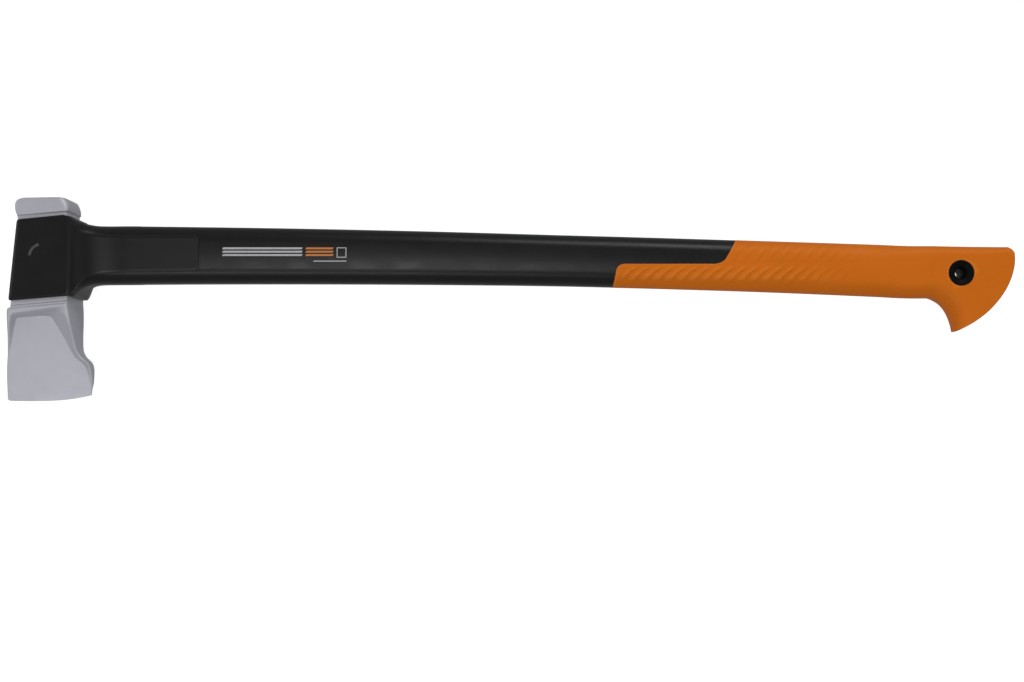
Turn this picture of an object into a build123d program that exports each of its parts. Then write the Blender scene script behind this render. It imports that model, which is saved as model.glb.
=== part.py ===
"""Splitting maul lying on its side: a forged steel wedge head locked in a moulded composite shaft,
with an overmoulded grip and a lined lanyard hole.

Row frame, millimetres: +X runs along the shaft from the head's toe to the pommel, +Y from the cutting
edge to the poll, +Z up through the side that faces away from the ground. The origin is under the
middle of the bounding box, on the ground that the collar's lower cheek rests on.
"""

import math
import os

from build123d import *

# ---- driving dimensions, mm ----
OVERALL_LENGTH = 815.0
HEAD_HEIGHT = 164.0
COLLAR_THICKNESS = 62.0
LEAN = 4.2  # degrees that the head's cross lines rise towards the pommel
SHAFT_WALL = 4.2
GRIP_WALL = 3.0
PLATE_THICKNESS = 2.2
LANYARD_BORE = 10.0
EYELET_DIAMETER = 20.8

HALF_LENGTH = OVERALL_LENGTH / 2
HALF_HEIGHT = HEAD_HEIGHT / 2
HALF_COLLAR = COLLAR_THICKNESS / 2
LEAN_SLOPE = math.tan(math.radians(LEAN))

# ---- stations along the tool ----
HEAD_X = -373.0  # middle of the head
TOE_X = -HALF_LENGTH  # foremost corner of the cutting edge
HEEL_X = -338.0  # rear corner of the cutting edge
BEARD_X = -352.4  # rear face of the blade under the collar
RIDGE_X = -353.0  # thickest line of the collar
TONGUE_END_X = -251.5
GRIP_LOW_X = 83.6  # the grip starts here on the belly
GRIP_HIGH_X = 184.6  # and here on the back
SHAFT_END_X = 312.0  # the shaft moulding stops inside the grip
LANYARD_X, LANYARD_Y = 363.5, 21.1

# ---- heights across the tool ----
SHAFT_Y = 36.4  # shaft axis where it leaves the collar
COLLAR_LOW_Y, COLLAR_HIGH_Y = 0.3, 65.4  # on the head's middle line
SHAFT_DROP = 12.5  # how far the shaft curves down towards the pommel

# ---- working planes ----
MID = Plane((0, 0, HALF_COLLAR), x_dir=(1, 0, 0), z_dir=(0, 0, 1))  # the tool's plane of symmetry
PLAN = Plane((0, 0, HALF_COLLAR), x_dir=(1, 0, 0), z_dir=(0, -1, 0))  # across it, seen from the edge
REACH = 120.0  # longer than any cut through the tool


def leaning(x, y):
    """Height of a head's cross line at x, for its height y on the head's middle."""
    return y + (x - HEAD_X) * LEAN_SLOPE


def section_plane(x, y=0.0):
    """Plane across the shaft at x: its own x runs up +Y and its own y runs up +Z."""
    return Plane((x, y, HALF_COLLAR), x_dir=(0, 1, 0), z_dir=(1, 0, 0))


# =====================================================================================
# Forms shared by several pieces
# =====================================================================================
# x, height, thickness and corner radius of the shaft's section
NECK_STATIONS = (
    (-356.0, 57.4, 53.4, 8.0),
    (-346.0, 54.6, 45.4, 10.0),
    (-337.0, 50.4, 39.2, 11.6),
    (-324.0, 48.0, 34.8, 12.6),
    (-304.0, 47.4, 33.4, 13.0),
)
SHAFT_STATIONS = (
    (-304.0, 47.4, 33.4, 13.0),
    (-180.0, 45.4, 32.4, 13.0),
    (-60.0, 43.4, 31.4, 13.0),
    (60.0, 41.6, 30.6, 13.0),
    (180.0, 41.4, 30.6, 13.0),
    (260.0, 42.0, 31.0, 13.0),
    (318.0, 42.4, 31.4, 13.0),
)
FLARE_STATIONS = (
    (318.0, 42.4, 31.4, 13.0),
    (340.0, 40.9, 35.0, 3.4),
)


def shaft_centre(x):
    """Height of the shaft's axis: straight at the head, then a gentle curve down."""
    run = max(0.0, x + 316.0) / 617.0
    return SHAFT_Y - SHAFT_DROP * run**2


def between(stations, x):
    """Height, thickness and corner radius between two stations."""
    for (x0, *low), (x1, *high) in zip(stations, stations[1:]):
        if x0 <= x <= x1:
            share = (x - x0) / (x1 - x0)
            return [a + (b - a) * share for a, b in zip(low, high)]
    raise ValueError(x)


def shaft_section(x, height, thickness, radius, inset=0.0):
    """Section across the shaft at x, made smaller by inset all round."""
    with BuildSketch(section_plane(x, shaft_centre(x))) as section:
        RectangleRounded(height - 2 * inset, thickness - 2 * inset, radius - inset)
    return section.sketch


def shaft_loft(stations, inset=0.0):
    """Loft through the stations' sections, in the current part."""
    return loft([shaft_section(*station, inset) for station in stations])


# The shaft's outer form, from inside the collar to inside the pommel
with BuildPart() as shaft_form:
    shaft_loft(SHAFT_STATIONS)

with BuildPart() as neck_form:
    shaft_loft(NECK_STATIONS)

# Its form under the grip
CORE_START_X = 62.0
core_stations = [(CORE_START_X, *between(SHAFT_STATIONS, CORE_START_X))]
core_stations += [s for s in SHAFT_STATIONS if CORE_START_X < s[0] < SHAFT_END_X]
core_stations += [(SHAFT_END_X, *between(SHAFT_STATIONS, SHAFT_END_X))]
with BuildPart() as core_form:
    shaft_loft(core_stations, inset=GRIP_WALL)

# Its hollow: wide under the bare shaft, then narrower under the grip, and open at the pommel
CAVITY_START_X = -318.0
CAVITY_STEP_X = 56.0
wide_stations = [(CAVITY_START_X, 47.6, 33.8, 13.0)]
wide_stations += [s for s in SHAFT_STATIONS if -300 < s[0] < CAVITY_STEP_X]
wide_stations += [(CAVITY_STEP_X, *between(SHAFT_STATIONS, CAVITY_STEP_X))]
narrow_stations = [(CAVITY_STEP_X, *between(SHAFT_STATIONS, CAVITY_STEP_X))]
narrow_stations += [s for s in SHAFT_STATIONS if s[0] > CAVITY_STEP_X]
with BuildPart() as cavity_form:
    shaft_loft(wide_stations, inset=SHAFT_WALL)
    shaft_loft(narrow_stations, inset=GRIP_WALL + SHAFT_WALL)

# Everything from the grip's split line to the pommel
with BuildPart() as grip_region:
    with BuildSketch(MID) as grip_region_outline:
        with BuildLine():
            FilletPolyline(
                (GRIP_LOW_X - 4, -20),
                (GRIP_LOW_X + 6, 28.5),
                (171.0, 28.5),
                (GRIP_HIGH_X + 7, 60),
                (GRIP_HIGH_X + 7, 61),
                radius=(5.5, 5.0, 0.2),
            )
            Polyline(
                (GRIP_HIGH_X + 7, 61),
                (HALF_LENGTH + 20, 61),
                (HALF_LENGTH + 20, -60),
                (GRIP_LOW_X - 4, -60),
                (GRIP_LOW_X - 4, -20),
            )
        make_face()
    extrude(amount=REACH, both=True)

# =====================================================================================
# Head
# =====================================================================================
EDGE_LAND = 0.3  # half the cutting edge's thickness
# height on the head's middle line, and half thickness at the ridge, from the edge to the poll
HEAD_PROFILE = (
    (-83.0, EDGE_LAND),
    (-64.0, 8.4),
    (-6.4, 27.4),
    (-4.9, 27.4),
    (-4.3, 26.3),
    (-2.9, 26.3),
    (-2.3, 25.4),
    (5.0, 25.0),
    (12.0, 23.6),
    (50.0, 21.0),
    (60.0, 20.8),
    (68.6, 20.8),
    (70.0, 22.6),
    (79.5, 22.6),
    (82.5, 20.5),
)
TOE_THINNER = 7.6  # how much thinner, to a side, the head is at the toe than at the ridge
TAPER_RUN = RIDGE_X - TOE_X


def head_half_thickness(x, at_ridge):
    """Half thickness at x of a face that has this half thickness at the ridge line."""
    full = HEAD_PROFILE[2][1]
    thinner = TOE_THINNER * (at_ridge - EDGE_LAND) / (full - EDGE_LAND)
    return at_ridge - thinner * (RIDGE_X - x) / TAPER_RUN


def head_section(x):
    """The head's closed cross-section at x."""
    side = [(leaning(x, y), head_half_thickness(x, t)) for y, t in HEAD_PROFILE]
    other = [(y, -t) for y, t in reversed(side)]
    with BuildSketch(section_plane(x)) as section:
        with BuildLine():
            Polyline(*side, *other, close=True)
        make_face()
    return section.sketch


POLL_FRONT_X, POLL_REAR_X = -397.2, -354.4
POLL_TOP_Y = HALF_HEIGHT
WAIST_FRONT_X, WAIST_REAR_X = -392.0, -357.0
SCOOP_ANGLE = 10.2  # degrees between the blade's hollowed face and its middle plane
SCOOP_DEPTH = 20.0

with BuildPart() as head_forging:
    loft([head_section(TOE_X - 2), head_section(HEEL_X + 2)], ruled=True)
    with BuildSketch(MID) as head_outline:
        with BuildLine():
            # cutting edge, then up the rear of the blade
            ThreePointArc((TOE_X, -79.6), (-376, -HALF_HEIGHT), (HEEL_X, -76.6))
            Line((HEEL_X, -76.6), (-339.3, -60.5))
            Spline(
                (-339.3, -60.5),
                (-343.4, -50.0),
                (BEARD_X + 3.2, -38.0),
                tangents=((-0.1, 1), (-0.1, 1)),
            )
            Polyline(
                (BEARD_X + 3.2, -38.0),
                (BEARD_X, -4.6),
                (BEARD_X - 1.2, -3.4),
                (BEARD_X - 1.2, 6.5),
                (WAIST_REAR_X, 15.0),
                (WAIST_REAR_X, 56.0),
                (POLL_REAR_X - 2.4, 63.0),
                (POLL_REAR_X - 2.4, 68.2),
                (POLL_REAR_X, 69.6),
            )
            # over the poll
            Spline(
                (POLL_REAR_X, 69.6),
                (POLL_REAR_X - 2.0, 78.6),
                (POLL_REAR_X - 9.0, POLL_TOP_Y),
                tangents=((0, 1), (-1, 0)),
            )
            Line((POLL_REAR_X - 9.0, POLL_TOP_Y), (-387.5, POLL_TOP_Y))
            Spline(
                (-387.5, POLL_TOP_Y),
                (POLL_FRONT_X + 2.2, 79.4),
                (POLL_FRONT_X, 73.8),
                tangents=((-1, 0), (0, -1)),
            )
            # and down the front
            Polyline(
                (POLL_FRONT_X, 73.8),
                (POLL_FRONT_X, 69.2),
                (POLL_FRONT_X + 2.4, 67.0),
                (POLL_FRONT_X + 2.4, 58.0),
                (WAIST_FRONT_X, 52.0),
                (WAIST_FRONT_X, 12.0),
                (-398.4, 4.0),
                (-399.2, -3.4),
                (-402.0, -7.0),
                (TOE_X, -79.6),
            )
        make_face()
    extrude(amount=REACH, both=True, mode=Mode.INTERSECT)
    # window through the waist that the shaft moulding fills, so it can't slide off
    with BuildSketch(MID):
        with Locations((HEAD_X - 0.5, 33.0)):
            SlotOverall(26.0, 14.0, rotation=90)
    extrude(amount=REACH, both=True, mode=Mode.SUBTRACT)

# Corners of a blade face's hollow, from the rear of the edge round to the front: (along, up) the face
# on its floor, and where its wall comes out SCOOP_DEPTH above the floor
SCOOP_CORNERS = (
    ((33.6, -4.0), (44.0, -9.0)),
    ((33.6, 4.0), (44.0, 4.0)),
    ((27.6, 26.0), (42.0, 33.0)),
    ((19.5, 40.0), (35.0, 45.0)),
    ((10.0, 68.6), (25.0, 79.0)),
    ((-15.0, 69.4), (-30.0, 79.6)),
    ((-21.0, 62.0), (-39.0, 70.0)),
    ((-35.0, 4.0), (-52.0, 4.0)),
    ((-35.6, -4.0), (-52.0, -9.0)),
)
lean_dir = Vector(math.cos(math.radians(LEAN)), math.sin(math.radians(LEAN)), 0)
rise = math.radians(SCOOP_ANGLE)
up_dir = Vector(-lean_dir.Y * math.cos(rise), lean_dir.X * math.cos(rise), math.sin(rise))
FACE = Plane(
    (HEAD_X + 1.0, -81.6, HALF_COLLAR + EDGE_LAND),
    x_dir=lean_dir,
    z_dir=lean_dir.cross(up_dir),
)
with BuildPart() as scoop:
    for level, height in enumerate((0.0, SCOOP_DEPTH)):
        with BuildSketch(FACE.offset(height)):
            with BuildLine():
                Polyline(*[corner[level] for corner in SCOOP_CORNERS], close=True)
            make_face()
    loft(ruled=True)

with BuildPart() as maul_head:
    add(head_forging.part)
    add(scoop.part, mode=Mode.SUBTRACT)
    add(scoop.part.mirror(MID), mode=Mode.SUBTRACT)

# =====================================================================================
# Shaft with its collar
# =====================================================================================


def collar_section(height, front, front_half, ridge_half, rear):
    """Plan of the collar at a height on the head's middle; front and rear are measured from HEAD_X."""
    ridge = RIDGE_X - HEAD_X
    with BuildSketch(Plane((HEAD_X, height, HALF_COLLAR), x_dir=lean_dir, z_dir=lean_normal)) as plan:
        with BuildLine():
            Polyline(
                (ridge, ridge_half),
                (front + 4.0, front_half),
                (front, front_half - 5.0),
                (front, 5.0 - front_half),
                (front + 4.0, -front_half),
                (ridge, -ridge_half),
            )
            ThreePointArc((ridge, -ridge_half), (rear, 0), (ridge, ridge_half))
        make_face()
    return plan.sketch


lean_normal = Vector(-lean_dir.Y, lean_dir.X, 0)
with BuildPart() as collar:
    loft(
        [
            collar_section(COLLAR_LOW_Y, -28.0, 24.4, HALF_COLLAR, 26.0),
            collar_section(COLLAR_HIGH_Y, -23.2, 21.4, HALF_COLLAR - 3.4, 23.8),
        ],
        ruled=True,
    )
    upright = collar.edges().filter_by(lambda edge: edge.length > 60 and edge.center().X < HEAD_X)
    fillet(upright, 3.0)
    rims = collar.faces().filter_by(Plane((0, 0, 0), z_dir=lean_normal)).edges()
    chamfer(rims, 0.9)

# Outlines of the plate: over the collar's flare at its head end, square at its tail
with BuildPart() as plate_region:
    with BuildSketch(MID):
        with BuildLine():
            Spline(
                (-349.0, 60.0),
                (-339.0, 53.8),
                (-323.0, 52.4),
                tangents=((0.75, -0.66), (1, -0.02)),
            )
            Polyline(
                (-323.0, 52.4),
                (TONGUE_END_X - 1.2, 50.4),
                (TONGUE_END_X, 49.2),
                (TONGUE_END_X - 1.2, 23.4),
                (TONGUE_END_X - 2.8, 21.6),
                (-323.0, 21.0),
            )
            Spline(
                (-323.0, 21.0),
                (-340.0, 15.4),
                (-349.0, 4.6),
                tangents=((-1, -0.01), (-0.6, -0.8)),
            )
            Line((-349.0, 4.6), (-349.0, 60.0))
        make_face()
    extrude(amount=REACH)

# x and half thickness of the plate's outer face
PLATE_PROFILE = ((-350.0, 26.4), (-346.0, 23.8), (-337.0, 20.2), (-324.0, 18.1), (-304.0, 17.3))
PLATE_TAIL_X, PLATE_TAIL_HALF = TONGUE_END_X + 5.0, 16.9


def outside_plate(drop):
    """All that lies farther out than the plate's outer face lowered by drop, within its outline."""
    lowered = [(x, half - drop) for x, half in PLATE_PROFILE]
    with BuildPart() as outside:
        with BuildSketch(PLAN):
            with BuildLine():
                Spline(*lowered)
                Polyline(
                    lowered[-1],
                    (PLATE_TAIL_X, PLATE_TAIL_HALF - drop),
                    (PLATE_TAIL_X, 2 * HALF_COLLAR),
                    (lowered[0][0], 2 * HALF_COLLAR),
                    lowered[0],
                )
            make_face()
        extrude(amount=REACH, both=True)
        add(plate_region.part, mode=Mode.INTERSECT)
    return outside.part


plate_bed = outside_plate(PLATE_THICKNESS)
with BuildPart() as cheek_plate_left:
    add(plate_bed)
    add(outside_plate(0), mode=Mode.SUBTRACT)

# Round cap pressed into the middle of each cheek
CAP_DIAMETER, CAP_DEPTH, CAP_SUNK = 20.8, 3.0, 0.5
CAP_RIBS = 30
cheek = collar.faces().filter_by(lambda face: face.normal_at().Z > 0.9).sort_by(SortBy.AREA)[-1]
CHEEK = Plane(cheek.center(), x_dir=(1, 0, 0), z_dir=cheek.normal_at())
with BuildPart() as cap_pocket:
    with BuildSketch(CHEEK.offset(-CAP_DEPTH)):
        with Locations((2.0, 0)):
            Circle(CAP_DIAMETER / 2)
    extrude(amount=2 * CAP_DEPTH)

with BuildPart() as cheek_cap_left:
    with BuildSketch(CHEEK.offset(-CAP_DEPTH)):
        with Locations((2.0, 0)):
            Circle(CAP_DIAMETER / 2)
    extrude(amount=CAP_DEPTH - CAP_SUNK)
    with BuildSketch(CHEEK.offset(-CAP_SUNK)):
        with Locations((2.0, 0)):
            Circle(CAP_DIAMETER / 2 - 2.6)
    extrude(amount=-0.9, taper=20, mode=Mode.SUBTRACT)
    with BuildSketch(CHEEK.offset(-CAP_SUNK)):
        with Locations((2.0, 0)):
            with PolarLocations(CAP_DIAMETER / 2 - 1.2, CAP_RIBS):
                Rectangle(3.4, 0.8)
    extrude(amount=-0.5, mode=Mode.SUBTRACT)

with BuildPart() as shaft:
    add(collar.part)
    add(neck_form.part)
    add(shaft_form.part)
    add(grip_region.part, mode=Mode.SUBTRACT)
    add(core_form.part)
    add(cavity_form.part, mode=Mode.SUBTRACT)
    add(maul_head.part, mode=Mode.SUBTRACT)
    for cut in (plate_bed, cap_pocket.part):
        add(cut, mode=Mode.SUBTRACT)
        add(cut.mirror(MID), mode=Mode.SUBTRACT)

# =====================================================================================
# Grip, pommel and lanyard hole
# =====================================================================================
POMMEL_THICKNESS = 35.0
PLUG_X = 290.0
POMMEL_ROUNDING = 3.0
FLARE_END_X = FLARE_STATIONS[-1][0]
POMMEL_BACK = (  # x, y and the way in, down the butt
    (HALF_LENGTH, 35.4, -1.0, 0.0),
    (403.4, 15.2, -0.95, 0.3),
    (387.4, -8.0, -0.78, 0.63),
)
POMMEL_TIP = (360.6, -28.2, 0.35, 1.8)
POMMEL_HOOK = (
    (355.8, -8.4, 0.85, 0.53),
    (344.0, 0.8, 0.2, 0.98),
)


def pommel_outline(start_x, inset=0.0):
    """Side outline of the pommel from start_x to the butt, moved in by inset all round."""
    back = [(x + inset * nx, y + inset * ny) for x, y, nx, ny in (*POMMEL_BACK, POMMEL_TIP)]
    hook = [(x + inset * nx, y + inset * ny) for x, y, nx, ny in (POMMEL_TIP, *POMMEL_HOOK)]
    top_start = (start_x, 42.7 - inset)
    top_end = (HALF_LENGTH - 6.0, 41.4 - inset)
    bottom_start = (start_x, 1.9 + inset)
    with BuildSketch(MID) as outline:
        with BuildLine():
            Line(top_start, top_end)
            RadiusArc(top_end, back[0], 6.0 - inset)
            Spline(*back, tangents=((0, -1), (-0.9, -0.45)))
            Spline(*hook, bottom_start, tangents=((-0.05, 1), (-1, 0)))
            Line(bottom_start, top_start)
        make_face()
        fillet(outline.vertices().sort_by(Axis.Y)[0], POMMEL_ROUNDING + 0.8)
    return outline.sketch


with BuildPart() as pommel_form:
    add(pommel_outline(FLARE_END_X))
    extrude(amount=POMMEL_THICKNESS / 2, both=True)
    rims = pommel_form.faces().filter_by(Axis.Z).edges()
    fillet(rims.filter_by(lambda edge: edge.center().X > FLARE_END_X + 0.1), POMMEL_ROUNDING)
    shaft_loft(FLARE_STATIONS)

# One end of the bush that lines the lanyard hole, as half sections about the hole's axis
HOLE = Plane((LANYARD_X, LANYARD_Y, HALF_COLLAR), x_dir=(1, 0, 0), z_dir=(0, -1, 0))
BUSH_RADIUS, FLANGE_DEPTH, FLANGE_PROUD, DISH_DEPTH = 7.6, 1.8, 0.4, 6.5
EYELET_TOP = POMMEL_THICKNESS / 2 + FLANGE_PROUD
with BuildPart() as eyelet_seat:
    with BuildSketch(HOLE):
        with BuildLine():
            Polyline(
                (0, 0),
                (BUSH_RADIUS, 0),
                (BUSH_RADIUS, EYELET_TOP - FLANGE_DEPTH),
                (EYELET_DIAMETER / 2, EYELET_TOP - FLANGE_DEPTH),
                (EYELET_DIAMETER / 2, EYELET_TOP),
                (0, EYELET_TOP),
                close=True,
            )
        make_face()
    revolve(axis=Axis((LANYARD_X, LANYARD_Y, 0), (0, 0, 1)))

with BuildPart() as eyelet_left:
    add(eyelet_seat.part)
    with BuildSketch(HOLE):
        with BuildLine():
            Polyline(
                (0, EYELET_TOP),
                (0, 0),
                (LANYARD_BORE / 2, 0),
                (LANYARD_BORE / 2, EYELET_TOP - DISH_DEPTH),
            )
            ThreePointArc(
                (LANYARD_BORE / 2, EYELET_TOP - DISH_DEPTH),
                (LANYARD_BORE / 2 + 1.9, EYELET_TOP - 2.4),
                (EYELET_DIAMETER / 2 - 0.9, EYELET_TOP),
            )
            Line((EYELET_DIAMETER / 2 - 0.9, EYELET_TOP), (0, EYELET_TOP))
        make_face()
    revolve(axis=Axis((LANYARD_X, LANYARD_Y, 0), (0, 0, 1)), mode=Mode.SUBTRACT)

# The core's shoulder stops the shaft's end, and its plug fills the end of the hollow
shoulder_stations = [(SHAFT_END_X, *between(SHAFT_STATIONS, SHAFT_END_X)), *FLARE_STATIONS]
with BuildPart() as pommel_core:
    add(cavity_form.part)
    with Locations((PLUG_X - 500, 0, 0)):
        Box(1000, 1000, 1000, mode=Mode.SUBTRACT)
    add(pommel_outline(FLARE_END_X - 1.0, GRIP_WALL))
    extrude(amount=POMMEL_THICKNESS / 2 - GRIP_WALL, both=True)
    shaft_loft(shoulder_stations, inset=GRIP_WALL)
    add(eyelet_seat.part, mode=Mode.SUBTRACT)
    add(eyelet_seat.part.mirror(MID), mode=Mode.SUBTRACT)

with BuildPart() as grip_sleeve:
    add(shaft_form.part)
    add(pommel_form.part)
    add(grip_region.part, mode=Mode.INTERSECT)
    for piece in (core_form, pommel_core, eyelet_seat):
        add(piece.part, mode=Mode.SUBTRACT)
    add(eyelet_seat.part.mirror(MID), mode=Mode.SUBTRACT)

# =====================================================================================
# Finished pieces
# =====================================================================================
os.makedirs("parts", exist_ok=True)

maul_head.part.label = "maul_head"
export_step(maul_head.part, "parts/maul_head.step")

shaft.part.label = "shaft"
export_step(shaft.part, "parts/shaft.step")

pommel_core.part.label = "pommel_core"
export_step(pommel_core.part, "parts/pommel_core.step")

grip_sleeve.part.label = "grip_sleeve"
export_step(grip_sleeve.part, "parts/grip_sleeve.step")

for name, left in (
    ("cheek_plate", cheek_plate_left),
    ("cheek_cap", cheek_cap_left),
    ("eyelet", eyelet_left),
):
    right = left.part.mirror(MID)
    left.part.label = name + "_left"
    right.label = name + "_right"
    export_step(left.part, f"parts/{name}_left.step")
    export_step(right, f"parts/{name}_right.step")
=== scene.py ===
"""The look of the splitting maul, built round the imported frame.

The frame lies on its side: +X along the shaft to the pommel, +Y from the cutting edge to the poll,
+Z up through the side that shows. Lengths are written in millimetres from the frame's origin and
turned into metres where a mesh is made.
"""

import math

import bmesh
import bpy
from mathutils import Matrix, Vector


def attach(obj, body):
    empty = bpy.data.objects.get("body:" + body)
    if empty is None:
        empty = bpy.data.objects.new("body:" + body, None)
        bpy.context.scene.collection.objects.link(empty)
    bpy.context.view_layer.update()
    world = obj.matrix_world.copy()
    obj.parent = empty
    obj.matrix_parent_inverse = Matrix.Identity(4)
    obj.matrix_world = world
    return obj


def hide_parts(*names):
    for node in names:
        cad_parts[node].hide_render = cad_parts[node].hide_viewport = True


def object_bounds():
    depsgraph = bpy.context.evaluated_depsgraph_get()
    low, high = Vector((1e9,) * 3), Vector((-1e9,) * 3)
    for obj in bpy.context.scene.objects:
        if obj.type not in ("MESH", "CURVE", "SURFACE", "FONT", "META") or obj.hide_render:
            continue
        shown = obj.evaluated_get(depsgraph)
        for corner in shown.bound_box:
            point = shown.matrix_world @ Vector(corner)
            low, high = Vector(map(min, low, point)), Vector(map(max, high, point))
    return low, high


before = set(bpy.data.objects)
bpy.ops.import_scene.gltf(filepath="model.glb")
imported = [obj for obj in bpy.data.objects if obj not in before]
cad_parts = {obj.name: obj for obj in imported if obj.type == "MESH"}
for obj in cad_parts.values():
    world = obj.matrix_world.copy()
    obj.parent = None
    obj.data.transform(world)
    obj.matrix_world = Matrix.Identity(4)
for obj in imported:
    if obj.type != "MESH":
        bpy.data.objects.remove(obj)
cad_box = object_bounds()

MM = 0.001
LOW, HIGH = cad_box
MID_Z = (LOW[2] + HIGH[2]) / 2 / MM  # the tool's plane of symmetry
TOE_X = LOW[0] / MM
BUTT_X = HIGH[0] / MM
TOP_Y = HIGH[1] / MM
EDGE_Y = LOW[1] / MM


# ---- Mesh helpers ----
def clamp(value, low=0.0, high=1.0):
    return max(low, min(high, value))


def ease(value):
    """0 to 1 with no slope at either end."""
    t = clamp(value)
    return t * t * (3 - 2 * t)


def mix(a, b, t):
    return a + (b - a) * t


def along(stations, x):
    """Smooth curve through (x, value) stations, flat where it turns and never past them."""
    if x <= stations[0][0]:
        return stations[0][1]
    for i in range(len(stations) - 1):
        x0, y0 = stations[i]
        x1, y1 = stations[i + 1]
        if x <= x1:
            break
    else:
        return stations[-1][1]

    def slope(k):
        if k == 0 or k == len(stations) - 1:
            near = min(k, len(stations) - 2)
            (xa, ya), (xb, yb) = stations[near], stations[near + 1]
            return (yb - ya) / (xb - xa)
        (xa, ya), (xb, yb), (xc, yc) = stations[k - 1 : k + 2]
        before, after = (yb - ya) / (xb - xa), (yc - yb) / (xc - xb)
        return 0.0 if before * after <= 0 else 2 * before * after / (before + after)

    h = x1 - x0
    t = (x - x0) / h
    return (
        (1 + 2 * t) * (1 - t) ** 2 * y0
        + t * (1 - t) ** 2 * h * slope(i)
        + t * t * (3 - 2 * t) * y1
        - t * t * (1 - t) * h * slope(i + 1)
    )


def soft_min(a, b, radius):
    """The lower of two heights, with their meeting line rounded."""
    h = clamp(0.5 + 0.5 * (b - a) / radius)
    return mix(b, a, h) - radius * h * (1 - h)


def soft_max(a, b, radius):
    return -soft_min(-a, -b, radius)


def shade(bm, sharp):
    """Smooth shading, apart from edges sharper than sharp degrees."""
    bmesh.ops.recalc_face_normals(bm, faces=bm.faces)
    for face in bm.faces:
        face.smooth = True
    limit = math.radians(sharp)
    for edge in bm.edges:
        edge.smooth = len(edge.link_faces) == 2 and edge.calc_face_angle(0) < limit


def new_object(name, verts, faces, replaced=(), sharp=180):
    """Mesh object from points in millimetres, hung under the root body, which hides the parts it
    replaces.
    """
    mesh = bpy.data.meshes.new(name)
    mesh.from_pydata([Vector(v) * MM for v in verts], [], faces)
    bm = bmesh.new()
    bm.from_mesh(mesh)
    bmesh.ops.remove_doubles(bm, verts=bm.verts, dist=1e-7)
    bmesh.ops.dissolve_degenerate(bm, edges=bm.edges, dist=1e-8)
    shade(bm, sharp)
    bm.to_mesh(mesh)
    bm.free()
    obj = bpy.data.objects.new(name, mesh)
    bpy.context.scene.collection.objects.link(obj)
    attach(obj, "root")
    if replaced:
        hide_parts(*replaced)
    return obj


def bridge(rings, cap_start=True, cap_end=True):
    """Verts and faces that join equal closed rings of points in order."""
    count = len(rings[0])
    verts = [p for ring in rings for p in ring]
    faces = []
    for r in range(len(rings) - 1):
        for i in range(count):
            j = (i + 1) % count
            a, b = r * count, (r + 1) * count
            faces.append((a + i, a + j, b + j, b + i))
    if cap_start:
        faces.append(tuple(reversed(range(count))))
    if cap_end:
        faces.append(tuple(range((len(rings) - 1) * count, len(rings) * count)))
    return verts, faces


def turned_rings(profile, around, centre, right, up, out):
    """Rings of a turned form. profile gives radii and heights, and right, up and out its axes."""
    rings = []
    for radius, height in profile:
        ring = []
        for i in range(around):
            turn = 2 * math.pi * i / around
            spoke = right * math.cos(turn) + up * math.sin(turn)
            ring.append(centre + spoke * radius + out * height)
        rings.append(ring)
    return rings


def slab_rings(rows, side, rise, depth):
    """Rings of a thin slab on a side of the tool, from rows of x, y and half thickness.

    The far side's rings run the other way round, so that its faces point out too.
    """
    rings = []
    for row in rows:
        outer = [(x, y, MID_Z + side * (z + rise)) for x, y, z in row]
        inner = [(x, y, MID_Z + side * (z - depth)) for x, y, z in row]
        rings.append((outer + inner[::-1])[::side])
    return rings


# ---- Head ----
LEAN = math.tan(math.radians(4.2))  # the head's cross lines rise this much towards the pommel
HEAD_X = TOE_X + 34.5  # its middle
RIDGE_X = TOE_X + 54.5  # its thickest line
HEEL_X = TOE_X + 69.3
EDGE_CREST_X = TOE_X + 20.0
EDGE_TOE_RISE, EDGE_HEEL_RISE = 0.5, 5.1  # of the cutting edge at its two ends
SHOULDER_Y = -5.0  # top of the blade, on the head's middle line
COLLAR_LOW_Y, COLLAR_HIGH_Y = 0.3, 66.0
POLL_Y, POLL_RUN = 68.5, 9.5  # where the cross lines begin to level out, and over what height

FRONT_X = (  # height, and how far the head's front stands behind the toe
    (-63, 0.0),
    (-54, 0.4),
    (-41, 1.6),
    (-25, 2.9),
    (-12, 3.4),
    (-8.4, 3.9),
    (-6.4, 5.0),
    (-5.0, 6.4),
    (3.0, 6.8),
    (14.0, 15.5),
    (52.0, 15.5),
    (60.0, 10.8),
    (66.5, 10.4),
    (69.8, 10.1),
    (71.7, 9.2),
    (74.1, 8.5),
    (76.5, 8.4),
    (78.6, 9.0),
    (80.3, 10.4),
    (81.3, 12.4),
    (TOP_Y, 15.4),
)
REAR_X = (  # height, and how far the head's rear stands behind the toe
    (EDGE_Y + 5, 68.4),
    (-69.0, 69.4),
    (-60.6, 69.1),
    (-56.0, 68.2),
    (-52.4, 66.4),
    (-46.6, 61.4),
    (-41.0, 58.7),
    (-33.0, 57.4),
    (-23.0, 56.2),
    (-9.4, 54.9),
    (-4.4, 54.3),
    (5.0, 54.1),
    (14.0, 50.5),
    (56.0, 50.5),
    (62.0, 52.0),
    (68.4, 52.0),
    (69.6, 52.8),
    (74.0, 53.0),
    (77.5, 52.5),
    (80.0, 51.4),
    (81.3, 50.0),
    (TOP_Y, 48.2),
)
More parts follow.
